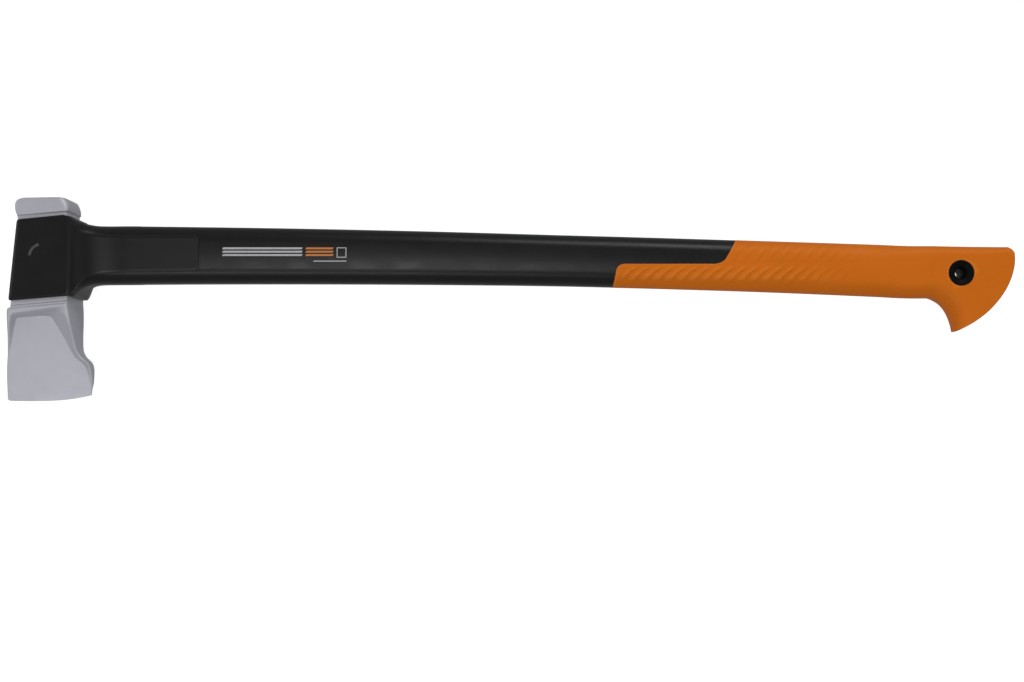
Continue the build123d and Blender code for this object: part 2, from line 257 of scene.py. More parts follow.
RIDGE_HALF = (  # height on the head's middle line, and half thickness at the ridge
    (EDGE_Y, 0.25),
    (-73.0, 3.4),
    (-33.0, 17.4),
    (-11.0, 25.0),
    (-6.4, 26.5),
    (-5.5, 26.5),
    (-4.9, 25.7),
    (-4.5, 26.1),
    (-3.5, 26.1),
    (-3.1, 25.3),
    (-2.7, 25.6),
    (5.0, 25.2),
    (14.0, 20.5),
    (60.0, 20.5),
    (68.2, 20.7),
    (68.9, 20.7),
    (69.5, 21.9),
    (75.0, 22.3),
    (80.6, 22.2),
    (TOP_Y - 0.5, 21.9),
    (TOP_Y, 21.0),
)
FLAT_RIGHT = (  # height, and where the blade's flat face ends towards the pommel
    (EDGE_Y, 70.5),
    (-76.0, 68.9),
    (-69.0, 67.9),
    (-60.9, 66.4),
    (-56.0, 65.0),
    (-52.8, 63.0),
    (-50.0, 60.0),
    (-47.0, 56.8),
    (-40.8, 52.8),
    (-32.7, 49.0),
    (-24.6, 44.6),
    (-11.0, 36.5),
)
FLAT_LEFT = (  # and where it ends towards the front
    (EDGE_Y, -6.0),
    (-60.0, -2.0),
    (-45.0, 2.4),
    (-33.0, 5.2),
    (-22.0, 7.8),
    (-13.0, 10.2),
)
FLAT_TOP_Y = -12.9
FLAT_SLOPE = math.tan(math.radians(10.4))
COVE_SLOPE, LEFT_SLOPE, RIGHT_SLOPE = 2.4, 1.7, 0.817  # of the walls round the flat face
WALL_ROUND, COVE_ROUND = 2.0, 6.5  # rounding between the side walls, and up into the cove
TOE_THINNER = 0.284  # share of the ridge's thickness that the head loses by the toe
EDGE_HALF = 0.25


def edge_height(x):
    """Height of the cutting edge, which rises to the heel and a little to the toe."""
    if x < EDGE_CREST_X:
        return EDGE_Y + EDGE_TOE_RISE * ((EDGE_CREST_X - x) / (EDGE_CREST_X - TOE_X)) ** 3
    return EDGE_Y + EDGE_HEEL_RISE * ((x - EDGE_CREST_X) / (HEEL_X - EDGE_CREST_X)) ** 2.6


def lean_at(level):
    """Slope of the head's cross lines, which level out over the poll."""
    return LEAN * (1 - ease((level - POLL_Y) / POLL_RUN))


def head_half(x, y):
    """Half thickness of the head at a point of its side."""
    level = y - (x - HEAD_X) * lean_at(y)
    share = clamp((RIDGE_X - x) / (RIDGE_X - TOE_X), -0.3, 1.0)
    outer = along(RIDGE_HALF, level) * (1 - TOE_THINNER * share)
    if level > SHOULDER_Y:
        return outer
    above_edge = max(0.0, y - edge_height(x))
    outer = min(outer, EDGE_HALF + above_edge)
    flat = EDGE_HALF + above_edge * FLAT_SLOPE
    right = (x - TOE_X - along(FLAT_RIGHT, y)) * RIGHT_SLOPE
    left = (TOE_X + along(FLAT_LEFT, y) - x) * LEFT_SLOPE
    top = (level - FLAT_TOP_Y) * COVE_SLOPE
    wall = soft_max(soft_max(right, left, WALL_ROUND), top, COVE_ROUND)
    round_over = clamp(top / 3, 1.2, 7.0)
    return soft_min(outer, flat + max(0.0, wall), round_over)


# steps along a side, round a corner, and over half the head's front and rear
SIDE_STEPS, CORNER_STEPS, FRONT_STEPS, REAR_STEPS = 88, 6, 3, 5


def head_ring(front, rear, height, corners, squeeze=1.0):
    """Closed ring round the head.

    height gives y at x, corners the rounding at the front and at the rear, and squeeze flattens the
    ring's thickness.
    """
    middle = (front + rear) / 2
    most = 0.55 * head_half(middle, height(middle)) + 0.05
    near = []
    ends = []
    for end, sign, corner in ((front, 1, corners[0]), (rear, -1, corners[1])):
        corner = min(corner, most)
        x = end + sign * corner
        half = head_half(x, height(x))
        ends.append((x, half, min(corner, half * 0.8), corner))
    x0, half0, drop0, corner0 = ends[0]
    x1, half1, drop1, corner1 = ends[1]
    for i in range(FRONT_STEPS):
        near.append((front, (half0 - drop0) * i / FRONT_STEPS))
    for i in range(CORNER_STEPS):
        turn = math.pi / 2 * i / CORNER_STEPS
        near.append((x0 - corner0 * math.cos(turn), half0 - drop0 + drop0 * math.sin(turn)))
    for i in range(SIDE_STEPS + 1):
        x = mix(x0, x1, i / SIDE_STEPS)
        near.append((x, head_half(x, height(x))))
    for i in range(1, CORNER_STEPS + 1):
        turn = math.pi / 2 * i / CORNER_STEPS
        near.append((x1 + corner1 * math.sin(turn), half1 - drop1 + drop1 * math.cos(turn)))
    for i in range(1, REAR_STEPS + 1):
        near.append((rear, (half1 - drop1) * (1 - i / REAR_STEPS)))
    ring = [(x, height(x), MID_Z + z * squeeze) for x, z in near]
    ring += [(x, height(x), MID_Z - z * squeeze) for x, z in reversed(near[1:-1])]
    return ring


BLADE_ROWS = 120
BLADE_CORNERS = (0.6, 0.8)  # rounding of the blade's front and rear at the edge
SHOULDER_CORNERS = (2.2, 1.8)  # and at the shoulder
POLL_CORNER = 6.5  # the rear corner's rounding at the top of the poll
TOE_ROUND = 1.4  # the toe's corner of the edge is rounded off
HEAD_LEVELS = (  # closest at the shoulder's groove and the poll's two lines
    -4.9, -4.7, -4.5, -4.0, -3.5, -3.3, -3.1, -2.9, -2.7, -1.5, 1.0, 5.0, 14.0, 35.0, 56.0,
    60.0, 66.0, 68.2, 68.6, 68.9, 69.2, 69.5, 70.5, 72.0, 73.5, 75.0, 76.5, 77.6, 78.6,
    79.4, 80.1, 80.7, 81.2, TOP_Y - 0.45, TOP_Y - 0.2, TOP_Y - 0.05,
)


def head_ends(y_front, y_rear):
    """Where the head's front and rear stand at two heights."""
    return TOE_X + along(FRONT_X, y_front), TOE_X + along(REAR_X, y_rear)


def build_head():
    rings = []
    for row in range(BLADE_ROWS + 1):
        share = (row / BLADE_ROWS) ** 1.12

        def height(x, share=share):
            return mix(edge_height(x), SHOULDER_Y + (x - HEAD_X) * LEAN, share)

        front, rear = head_ends(height(TOE_X), height(RIDGE_X))
        front += TOE_ROUND * (1 - clamp(share * 40)) ** 2
        corners = tuple(mix(a, b, share) for a, b in zip(BLADE_CORNERS, SHOULDER_CORNERS))
        rings.append(head_ring(front, rear, height, corners, 0.0 if row == 0 else 1.0))
    front_corner, rear_corner = SHOULDER_CORNERS
    for level in HEAD_LEVELS:
        lean = lean_at(level)

        def height(x, level=level, lean=lean):
            return min(level + (x - HEAD_X) * lean, TOP_Y)

        corners = (front_corner, mix(rear_corner, POLL_CORNER, ease((level - 68) / 12)))
        rings.append(head_ring(*head_ends(level, level), height, corners))
    corners = (front_corner, POLL_CORNER)
    rings.append(head_ring(*head_ends(TOP_Y, TOP_Y), lambda x: TOP_Y, corners, 0.98))
    verts, faces = bridge(rings, cap_start=False)
    return new_object("head_forging", verts, faces, ("maul_head",), sharp=80)


# ---- Shaft, grip and pommel share one outer form ----
SHAFT_Y = 36.4  # the shaft's axis, where it leaves the collar
BOW, BOW_X, BOW_RUN = 12.5, -316.0, 617.0  # how far it bows down, from where, over what length
SHAFT_ROUND = 13.0  # the shaft's corner radius
CROWN = 0.35  # how far its sides swell
SHAFT_PLACES = (-330, -304, -180, -60, 60, 180, 318)
HALF_HEIGHT = tuple(zip(SHAFT_PLACES, (24.0, 23.7, 22.7, 21.7, 20.8, 20.7, 21.2)))
HALF_THICK = tuple(zip(SHAFT_PLACES, (17.0, 16.7, 16.2, 15.7, 15.3, 15.3, 15.7)))
SPLIT_Y = 28.5  # the grip's upper edge along the shaft's side
GRIP_LOW_X, GRIP_HIGH_X = 83.6, 184.6  # where the grip starts below and above that edge
FLARE_X, POMMEL_X = 300.0, 341.0  # where the grip begins to widen, and where the hook begins


def axis_y(x):
    """Height of the shaft's axis, which bows down towards the pommel."""
    return SHAFT_Y - BOW * (max(0.0, x - BOW_X) / BOW_RUN) ** 2


ARC, SIDE, END = 10, 16, 4  # steps round a corner, up a side and over half an end
SPLIT_STEP = END + ARC + SIDE // 2  # ring point that lies on the grip's split line
HALF_RING = 2 * END + 2 * ARC + SIDE


def section_ring(half_height, halves, radii, pivot=0.0):
    """Rounded rectangle as (across, out) pairs: across runs up, out runs to the near side.

    It starts at the middle of the low end and runs up the near side. halves are its half thicknesses
    and radii its corner radii, each at the low and at the high end. pivot is where the side's middle
    point lies.
    """
    radii = [min(r, half_height * 0.98) for r in radii]
    low, high = radii[0] - half_height, half_height - radii[1]
    pivot = clamp(pivot, mix(low, high, 0.15), mix(low, high, 0.85))
    points = []
    for i in range(END):
        points.append((-half_height, (halves[0] - radii[0]) * i / END))
    for i in range(ARC):
        turn = math.pi / 2 * i / ARC
        out = halves[0] - radii[0] * (1 - math.sin(turn))
        points.append((low - radii[0] * math.cos(turn), out))
    for i in range(SIDE):
        t = 2 * i / SIDE
        across = mix(low, pivot, t) if t < 1 else mix(pivot, high, t - 1)
        share = (across - low) / max(high - low, 1e-6)
        crown = CROWN * (1 - (2 * share - 1) ** 2) * min(1.0, min(radii) / 8)
        points.append((across, mix(halves[0], halves[1], share) + crown))
    for i in range(ARC):
        turn = math.pi / 2 * i / ARC
        out = halves[1] - radii[1] * (1 - math.cos(turn))
        points.append((high + radii[1] * math.sin(turn), out))
    for i in range(END + 1):
        points.append((half_height, (halves[1] - radii[1]) * (1 - i / END)))
    return points + [(a, -o) for a, o in reversed(points[1:-1])]


COLLAR_FRONT_X = HEAD_X - 26.2
COLLAR_RIDGE = RIDGE_X + 1.7
FRONT_LEAN = -0.081  # the collar's front leans back towards the poll
COLLAR_SAG, SAG_RUN = 1.8, 7.0  # how far its back comes down before the ridge, over what length
COLLAR_ROUND = 2.6  # of its front edge
COLLAR_CORNER = 2.0  # of its four long edges
TOP_LINE, BOTTOM_LINE = 59.5, 12.7  # the back and the belly, once the flare has died away
BACK_FLARE, BACK_FADE = 6.2, 8.0  # how far the back flares out at the ridge, and how fast that fades
BELLY_FLARE, BELLY_FADE, BELLY_WAIT = 11.2, 4.6, 2.4  # the same of the belly, which starts later
OUTLINE_X, OUTLINE_RUN = -345.0, 40.0  # where the outline turns into the plain shaft's
SIDE_X, SIDE_RUN = -325.0, 20.0  # and where the sides do
SEAT_DEPTH, SEAT_RUN = 1.3, 7.0  # the collar's sides are let in under the plates
COLLAR_END_X = -302.0
SHAFT_START_X, SHAFT_STOP_X, SHAFT_STEP = -298.0, 312.0, 6.0
BACK_RADIUS = (  # corner radius behind the ridge
    (-353, 2.4),
    (-350, 6.5),
    (-346, 11.0),
    (-341, 13.6),
    (-334, 14.0),
    (-326, 13.4),
    (-304, SHAFT_ROUND),
)
RIDGE_SIDE = ((23.3, 31.1), (20.9, 27.9))  # half thickness at front and ridge, for belly and back
SIDE_HALF = 16.9  # half thickness that the flare comes down to behind the ridge
SIDE_FLARE, SIDE_FADE = (14.7, 11.5), 10.8  # its height at belly and back, and how fast it fades
RIDGE_ROUND = 2.4


def cheek(x, share):
    """Half thickness over the collar's cheek and the plate behind it, share from belly to back."""
    rise = (x - COLLAR_FRONT_X) / (COLLAR_RIDGE - COLLAR_FRONT_X)
    belly, back = (mix(front, ridge, rise) for front, ridge in RIDGE_SIDE)
    wedge = mix(belly, back, share)
    swept = SIDE_HALF + mix(*SIDE_FLARE, share) * math.exp((COLLAR_RIDGE - x) / SIDE_FADE)
    return soft_min(wedge, swept, RIDGE_ROUND)


def collar_rings():
    """Rings of the collar, from its front to where its flare has become the plain shaft."""
    rings = []
    places = []
    round_steps, side_steps = 5, 26
    for i in range(round_steps + 1):
        turn = math.pi / 2 * i / round_steps
        inset = COLLAR_ROUND * (1 - math.sin(turn))
        places.append((COLLAR_FRONT_X + COLLAR_ROUND * (1 - math.cos(turn)), inset))
    start = COLLAR_FRONT_X + COLLAR_ROUND
    for i in range(1, side_steps + 1):
        places.append((mix(start, COLLAR_RIDGE, i / side_steps), 0.0))
    for x, inset in places:
        halves = (cheek(x, 0.0) - inset, cheek(x, 1.0) - inset)
        sag = COLLAR_SAG * ease((x - COLLAR_RIDGE) / SAG_RUN + 1.0)
        half = (COLLAR_HIGH_Y - COLLAR_LOW_Y - sag) / 2 - inset * 0.5
        centre = (COLLAR_HIGH_Y + COLLAR_LOW_Y - sag) / 2 + (x - HEAD_X) * LEAN
        lean = FRONT_LEAN * (COLLAR_RIDGE - x) / (COLLAR_RIDGE - COLLAR_FRONT_X)
        section = section_ring(half, halves, (COLLAR_CORNER, COLLAR_CORNER))
        rings.append((x, centre, lean, section))
    x = COLLAR_RIDGE
    step = 0.4
    while x < COLLAR_END_X:
        x += step
        step = min(3.0, step * 1.12)
        behind = x - COLLAR_RIDGE
        back = TOP_LINE + BACK_FLARE * math.exp(-behind / BACK_FADE)
        belly = BOTTOM_LINE - BELLY_FLARE * math.exp(-max(0.0, behind - BELLY_WAIT) / BELLY_FADE)
        plain = ease((x - OUTLINE_X) / OUTLINE_RUN)
        half_height = along(HALF_HEIGHT, x)
        top = mix(back, axis_y(x) + half_height, plain)
        bottom = mix(belly, axis_y(x) - half_height, plain)
        seat = SEAT_DEPTH * ease(behind / SEAT_RUN)
        fading = ease((x - SIDE_X) / SIDE_RUN)
        halves = [mix(cheek(x, share) - seat, along(HALF_THICK, x), fading) for share in (0.0, 1.0)]
        radius = along(BACK_RADIUS, x)
        section = section_ring((top - bottom) / 2, halves, (radius, radius))
        rings.append((x, (top + bottom) / 2, 0.0, section))
    return rings


def placed(x, centre, lean, section):
    """Points of a section across the shaft at x, its plane leaning back at the top."""
    return [(x - a * lean, centre + a, MID_Z + o) for a, o in section]


def shaft_section(x, drop=0.0, pivot=0.0):
    """Section of the shaft's outer form, set in all round by drop."""
    half = along(HALF_THICK, x) - drop
    radius = SHAFT_ROUND - drop
    return section_ring(along(HALF_HEIGHT, x) - drop, (half, half), (radius, radius), pivot)


def build_shaft():
    collar = collar_rings()
    x, centre, lean, section = collar[0]
    front = placed(x - 0.05, centre, lean, [(a * 0.9, o * 0.9) for a, o in section])
    rings = [front] + [placed(*ring) for ring in collar]
    x = SHAFT_START_X
    while x < SHAFT_STOP_X:
        # thinner where the grip covers it all round
        drop = 0.1 + 2.9 * ease((x - GRIP_HIGH_X - 5.4) / 12)
        rings.append(placed(x, axis_y(x), 0.0, shaft_section(x, drop)))
        x += SHAFT_STEP
    verts, faces = bridge(rings)
    return new_object("shaft_moulding", verts, faces, ("shaft",), sharp=40)


SIDES = (("left", 1), ("right", -1))


# ---- Grip and pommel ----
BELLY_Y = 10.0
START_CORNER = 5.2  # rounding where the lower start meets the split line
FOOT_X = GRIP_HIGH_X - 12.5  # where the upper start meets the split line, but for its foot,
FOOT_REACH, FOOT_RISE = 4.4, 4.2  # which sweeps forward this far, over this height
LOW_SLOPE, HIGH_SLOPE = 0.19, 0.56  # lean of the lower and the upper start
SCALE_PITCH, SCALE_RISE = 9.8, 0.62  # of the embossed scales, and their rising share of a pitch
SCALE_BANDS = (  # low and high edge, start and stop along the grip, slant, height
    (14.0, 27.4, 88.0, 290.0, 1.2, 1.05),
    (29.6, 45.0, 176.0, 315.0, 0.8, 0.50),
)


def start_low(y):
    """Where the grip starts, below its split line."""
    into = clamp(y - (SPLIT_Y - START_CORNER), 0.0, START_CORNER)
    rounding = START_CORNER - math.sqrt(START_CORNER**2 - into**2)
    return GRIP_LOW_X + LOW_SLOPE * (y - BELLY_Y) + rounding


def start_high(y):
    """Where the grip starts, above its split line."""
    near = 1 - clamp((y - SPLIT_Y) / FOOT_RISE)
    return FOOT_X + HIGH_SLOPE * (y - SPLIT_Y) - FOOT_REACH * near**2


def scale_height(x, y):
    """Height of the embossed scales on the grip's side."""
    total = 0.0
    for low, high, start, stop, slant, height in SCALE_BANDS:
        inside = ease((y - low) / 2.5) * ease((high - y) / 3.0)
        inside *= ease((x - start) / 6.0) * ease((stop - x) / 70.0)
        bend = y - (low + high) / 2
        turn = (x - slant * bend - 0.04 * bend * bend) / SCALE_PITCH
        t = turn % 1.0
        wave = t / SCALE_RISE if t < SCALE_RISE else (1 - t) / (1 - SCALE_RISE)
        total += height * inside * ease(wave)
    return total


def embossed(x, centre, section):
    """A section with the scales raised from its sides, fading towards its back and belly."""
    raised = []
    for a, o in section:
        lift = scale_height(x, centre + a) * ease((abs(o) - 5.25) / 6.0)
        raised.append((a, o + math.copysign(lift, o)))
    return raised


TOP_CORNER = 6.0  # between the pommel's top and the butt
POMMEL_TOP_Y, BUTT_TOP_Y, POMMEL_LOW_Y = 43.5, 42.6, 1.8
POMMEL_HALF, BACK_ROUND = 17.4, 9.0  # half thickness, and the rounding along the top
BUTT_ROUND = 1.6  # and along the butt
HOLE_X, HOLE_Y, HOLE_RADIUS = 363.5, 21.1, 10.0
BACK = (  # the butt's outline from its top corner to the tip of the hook
    (BUTT_X, 36.6),
    (BUTT_X - 0.9, 26.0),
    (BUTT_X - 4.1, 15.2),
    (BUTT_X - 10.2, 3.9),
    (BUTT_X - 20.2, -8.0),
    (BUTT_X - 31.4, -17.0),
    (BUTT_X - 45.6, -25.6),
)
HOOK = (  # and the hook's hollow side
    (POMMEL_X, POMMEL_LOW_Y),
    (345.0, 0.2),
    (350.4, -3.2),
    (354.8, -8.4),
    (357.6, -13.8),
    (359.6, -19.8),
    (360.9, -25.7),
)


def smooth_path(points, share):
    """Point at a share of the length of a Catmull-Rom curve through points."""
    lengths = [math.dist(a, b) for a, b in zip(points, points[1:])]
    reach = share * sum(lengths)
    for i, length in enumerate(lengths):
        if reach <= length or i == len(lengths) - 1:
            break
        reach -= length
    t = clamp(reach / length)
    p1, p2 = Vector(points[i]), Vector(points[i + 1])
    p0 = Vector(points[i - 1]) if i > 0 else 2 * p1 - p2
    p3 = Vector(points[i + 2]) if i + 2 < len(points) else 2 * p2 - p1
    return 0.5 * (
        2 * p1
        + (p2 - p0) * t
        + (2 * p0 - 5 * p1 + 4 * p2 - p3) * t**2
        + (3 * p1 - p0 - 3 * p2 + p3) * t**3
    )


def butt_path():
    """Outline from the grip's top over the corner and down the butt."""
    corner_x = BUTT_X - TOP_CORNER
    points = [(POMMEL_X, POMMEL_TOP_Y), (360.0, 43.1), (380.0, 42.8), (corner_x, BUTT_TOP_Y)]
    steps = 6
    for i in range(1, steps):
        turn = math.pi / 2 * i / steps
        y = BUTT_TOP_Y - TOP_CORNER * (1 - math.cos(turn))
        points.append((corner_x + TOP_CORNER * math.sin(turn), y))
    return points + list(BACK)


def hook_section(length, half, low_radius, high_radius):
    """Section of the pommel, length deep: round at the hook's side, cut square at the butt's."""
    sweep = math.acos(clamp(1 - (length - 0.6 * high_radius) / low_radius))
    crest = half - low_radius * (1 - math.sin(sweep))
    low = low_radius * (1 - math.cos(sweep))
    high_radius = min(high_radius, 0.6 * crest, 0.5 * length)
    points = [(0.0, (half - low_radius) * i / END) for i in range(END)]
    for i in range(ARC):
        turn = sweep * i / ARC
        out = half - low_radius * (1 - math.sin(turn))
        points.append((low_radius * (1 - math.cos(turn)), out))
    high = max(low, length - high_radius)
    points += [(mix(low, high, i / SIDE), crest) for i in range(SIDE)]
    for i in range(ARC):
        turn = math.pi / 2 * i / ARC
        out = crest - high_radius * (1 - math.cos(turn))
        points.append((high + (length - high) * math.sin(turn), out))
    points += [(length, (crest - high_radius) * (1 - i / END)) for i in range(END + 1)]
    return points + [(a, -o) for a, o in reversed(points[1:-1])]


def pommel_rings():
    """Rings that fan round from the grip's end to the tip of the hook."""
    rings = []
    path = butt_path()
    square_share, square_run = 0.34, 0.14  # of the outline, where its rounding gets tight
    x = FLARE_X
    while x < POMMEL_X:
        t = ease((x - FLARE_X) / (POMMEL_X - FLARE_X))
        top = mix(axis_y(x) + along(HALF_HEIGHT, x), POMMEL_TOP_Y, t)
        bottom = mix(axis_y(x) - along(HALF_HEIGHT, x), POMMEL_LOW_Y, t)
        half = mix(along(HALF_THICK, x), POMMEL_HALF, t)
        radii = (SHAFT_ROUND, mix(SHAFT_ROUND, BACK_ROUND, t))
        section = section_ring((top - bottom) / 2, (half, half), radii)
        rings.append(placed(x, (top + bottom) / 2, 0.0, section))
        x += 2.0
    fan = 70
    for i in range(fan + 1):
        t = i / fan
        high = smooth_path(path, t**0.92)
        low = smooth_path(HOOK, t)
        rib = high - low
        length = rib.length
        rib = rib / max(length, 1e-6)
        high_radius = mix(BACK_ROUND, BUTT_ROUND, ease((t - square_share) / square_run))
        section = hook_section(length, POMMEL_HALF, SHAFT_ROUND, high_radius)
        rings.append([(low.x + rib.x * a, low.y + rib.y * a, MID_Z + o) for a, o in section])
    return rings


def open_hole(bm, radius):
    """Opens the lanyard hole through both sides and lines it."""
    middle = Vector((HOLE_X, HOLE_Y)) * MM
    inside = [
        face
        for face in bm.faces
        if (face.calc_center_median().xy - middle).length < (radius - 0.4) * MM
    ]
    bmesh.ops.delete(bm, geom=inside, context="FACES")
    hole = [
        edge
        for edge in bm.edges
        if edge.is_boundary and (edge.verts[0].co.xy - middle).length < 2 * radius * MM
    ]
    for vert in {vert for edge in hole for vert in edge.verts}:
        vert.co.xy = middle + (vert.co.xy - middle).normalized() * radius * MM
    bmesh.ops.bridge_loops(bm, edges=hole)


def turn_in(bm):
    """Turns a sleeve's open end in towards its axis."""
    rim = [edge for edge in bm.edges if edge.is_boundary]
    made = bmesh.ops.extrude_edge_only(bm, edges=rim)["geom"]
    for vert in (v for v in made if isinstance(v, bmesh.types.BMVert)):
        centre = Vector((vert.co.x, axis_y(vert.co.x / MM) * MM, MID_Z * MM))
        vert.co = centre + (vert.co - centre) * 0.8


def pierce(obj, radius, sharp, open_end=False):
    """Opens the lanyard hole in an object, turns its open end in where it has one, and shades it."""
    bm = bmesh.new()
    bm.from_mesh(obj.data)
    open_hole(bm, radius)
    if open_end:
        turn_in(bm)
    shade(bm, sharp)
    bm.to_mesh(obj.data)
    bm.free()


def build_grip():
    """The sleeve, whose lower part starts first, and its pommel, in rows of points along the tool."""
    grid = []
    count = 2 * HALF_RING
    low_rows, split_rows = 80, 34
    # where the lower part's own rows end, and where all rows stand square to the shaft
    split_end_x, full_x = 166.0, 208.0
    high_row_x = GRIP_HIGH_X - 10.0

    def column_y(x, k):
        section = shaft_section(x, 0.0, SPLIT_Y - axis_y(x))
        return axis_y(x) + section[k][0]

    def row_points(row):
        points = []
        cache = {}
        for c in range(count):
            k = min(c, count - c)
            if row < low_rows and k > SPLIT_STEP:
                points.append(None)
                continue
            if k <= SPLIT_STEP:
                if row <= low_rows:
                    x = mix(start_low(column_y(GRIP_LOW_X, k)), split_end_x, row / low_rows)
                else:
                    x = mix(split_end_x, full_x, (row - low_rows) / split_rows)
            else:
                start = start_high(column_y(high_row_x, k))
                x = mix(start, full_x, (row - low_rows) / split_rows)
            if x not in cache:
                cache[x] = embossed(x, axis_y(x), shaft_section(x, 0.0, SPLIT_Y - axis_y(x)))
            a, o = cache[x][c]
            points.append((x, axis_y(x) + a, MID_Z + o))
        return points

    for row in range(low_rows + split_rows + 1):
        grid.append(row_points(row))
    x = full_x
    while x < FLARE_X - 1.5:
        x += 1.2
        pivot = mix(SPLIT_Y - axis_y(x), 0.0, ease((x - 250) / 45))
        section = embossed(x, axis_y(x), shaft_section(x, 0.0, pivot))
        grid.append(placed(x, axis_y(x), 0.0, section))
    grid += pommel_rings()

    index = {}
    verts = []
    for r, row in enumerate(grid):
        for c, point in enumerate(row):
            if point is not None:
                index[r, c] = len(verts)
                verts.append(point)
    faces = []
    for r in range(len(grid) - 1):
        for c in range(count):
            corners = ((r, c), (r, (c + 1) % count), (r + 1, (c + 1) % count), (r + 1, c))
            if all(corner in index for corner in corners):
                faces.append(tuple(index[corner] for corner in corners))
    last = len(grid) - 1
    faces.append(tuple(index[last, c] for c in range(count)))
    grip = new_object("grip_overmould", verts, faces, ("grip_sleeve",))
    pierce(grip, HOLE_RADIUS, 50, open_end=True)
    return grip


CORE_SHARE, CORE_HOLE = 0.78, 8.0  # its size next to the pommel's, and the radius of its hole


def build_core():
    """Foam core that fills the pommel inside the sleeve."""
    rings = []
    for x in (FLARE_X - 8.0, FLARE_X - 4.0):
        rings.append(placed(x, axis_y(x), 0.0, shaft_section(x, 4.6)))
    tip_rings = 6  # the core stops short of the hook's tip
    for ring in pommel_rings()[:-tip_rings]:
        middle = sum((Vector(p) for p in ring), Vector()) / len(ring)
        rings.append([middle + (Vector(p) - middle) * CORE_SHARE for p in ring])
    verts, faces = bridge(rings)
    core = new_object("pommel_filling", verts, faces, ("pommel_core",))
    pierce(core, CORE_HOLE, 40)
    return core


BORE_RADIUS = 4.5


def build_eyelet(name, node, side):
    """Turned bush: a domed flange, a dish, and a straight bore down to the middle."""
    top = POMMEL_HALF + 0.55
    profile = (
        (BORE_RADIUS, 0.0),
        (BORE_RADIUS, top - 3.0),
        (4.8, top - 2.4),
        (6.1, top - 1.6),
        (7.6, top - 0.75),
        (8.9, top - 0.15),
        (9.4, top),
        (9.9, top),
        (10.3, top - 0.18),
        (10.4, top - 0.6),
        (10.4, top - 1.9),
        (7.6, top - 1.9),
        (7.6, 0.0),
    )
    centre = Vector((HOLE_X, HOLE_Y, MID_Z))
    axes = Vector((1, 0, 0)), Vector((0, 1, 0)), Vector((0, 0, side))
    rings = turned_rings(profile + profile[:1], 80, centre, *axes)
    verts, faces = bridge(rings, cap_start=False, cap_end=False)
    return new_object(name, verts, faces, (node,), sharp=50)


# ---- Cheek plates, caps and printed bars ----
PLATE_START_X, PLATE_END_X = COLLAR_RIDGE - 0.5, TOE_X + 157.5
PLATE_CORNER = 4.5  # of its end
PLATE_DEPTH, PLATE_PROUD = 2.0, 0.95  # its thickness, and how far it stands proud of the shaft
PLATE_ROUND = 0.55  # of its long edges and its end
PLATE_BEND_X = -335.0  # up to here it bends off the collar
PLATE_ROW_STEPS = 14
PLATE_EDGE = ((0.0, 1.9), (0.0, PLATE_ROUND), (0.15, 0.2), (PLATE_ROUND, 0.0))  # inset and drop
PLATE_HIGH = (  # its upper and its lower edge
    (-352.6, 64.4),
    (-349.4, 59.9),
    (-346.1, 56.4),
    (-337.9, 53.4),
    (-320.5, 51.8),
    (PLATE_END_X, 51.2),
)
PLATE_LOW = (
    (-352.6, 2.6),
    (-349.8, 3.4),
    (-348.3, 5.6),
    (-345.1, 11.6),
    (-339.8, 16.8),
    (-333.2, 19.0),
    (-320.0, 20.8),
    (-304.5, 21.5),
    (PLATE_END_X, 22.4),
)


def plate_face(x, y, low, high):
    """Half thickness to the plate's outer face."""
    share = clamp((y - low) / max(high - low, 1.0))
    fading = ease((x - SIDE_X) / SIDE_RUN)
    flush = mix(cheek(x, share), along(HALF_THICK, x) + PLATE_PROUD, fading)
    return flush - 0.12 * (1 - ease((x - PLATE_START_X) / 1.4))


def build_plate(name, node, side):
    """Long plate whose rows run across it, closest where it bends off the collar and at its end."""
    xs = []
    x = PLATE_START_X
    while x < PLATE_END_X - PLATE_CORNER:
        xs.append(x)
        x += 0.7 if x < PLATE_BEND_X else 2.5
    xs += [PLATE_END_X - d for d in (4.4, 3.6, 2.8, 2.1, 1.5, 1.0, 0.6, 0.3, 0.1, 0.0)]
    rows = []
    for x in xs:
        ending = max(0.0, PLATE_CORNER - (PLATE_END_X - x))
        pulled = PLATE_CORNER - math.sqrt(PLATE_CORNER**2 - ending**2)
        low, high = along(PLATE_LOW, x) + pulled, along(PLATE_HIGH, x) - pulled
        tail = PLATE_ROUND * ease(1 - (PLATE_END_X - x) / 0.6)
        places = [(low + inset, drop) for inset, drop in PLATE_EDGE]
        for i in range(1, PLATE_ROW_STEPS):
            places.append((mix(low + PLATE_ROUND, high - PLATE_ROUND, i / PLATE_ROW_STEPS), 0.0))
        places += [(high - inset, drop) for inset, drop in reversed(PLATE_EDGE)]
        rows.append([(x, y, plate_face(x, y, low, high) - max(drop, tail)) for y, drop in places])
    verts, faces = bridge(slab_rings(rows, side, 0.0, PLATE_DEPTH))
    return new_object(name, verts, faces, (node,), sharp=60)


CAP_X, CAP_Y, CAP_RADIUS = HEAD_X - 1.0, 33.0, 11.0


def cap_axes(side):
    """Centre of the cheek's cap, and the directions along and up the cheek and out of it."""

    def surface(x, y):
        share = (y - COLLAR_LOW_Y) / (COLLAR_HIGH_Y - COLLAR_LOW_Y)
        return Vector((x, y, MID_Z + side * cheek(x, share)))

    centre = surface(CAP_X, CAP_Y)
    right = (surface(CAP_X + 5, CAP_Y) - surface(CAP_X - 5, CAP_Y)).normalized()
    up = (surface(CAP_X, CAP_Y + 5) - surface(CAP_X, CAP_Y - 5)).normalized()
    out = right.cross(up).normalized() * side
    return centre, right, up, out


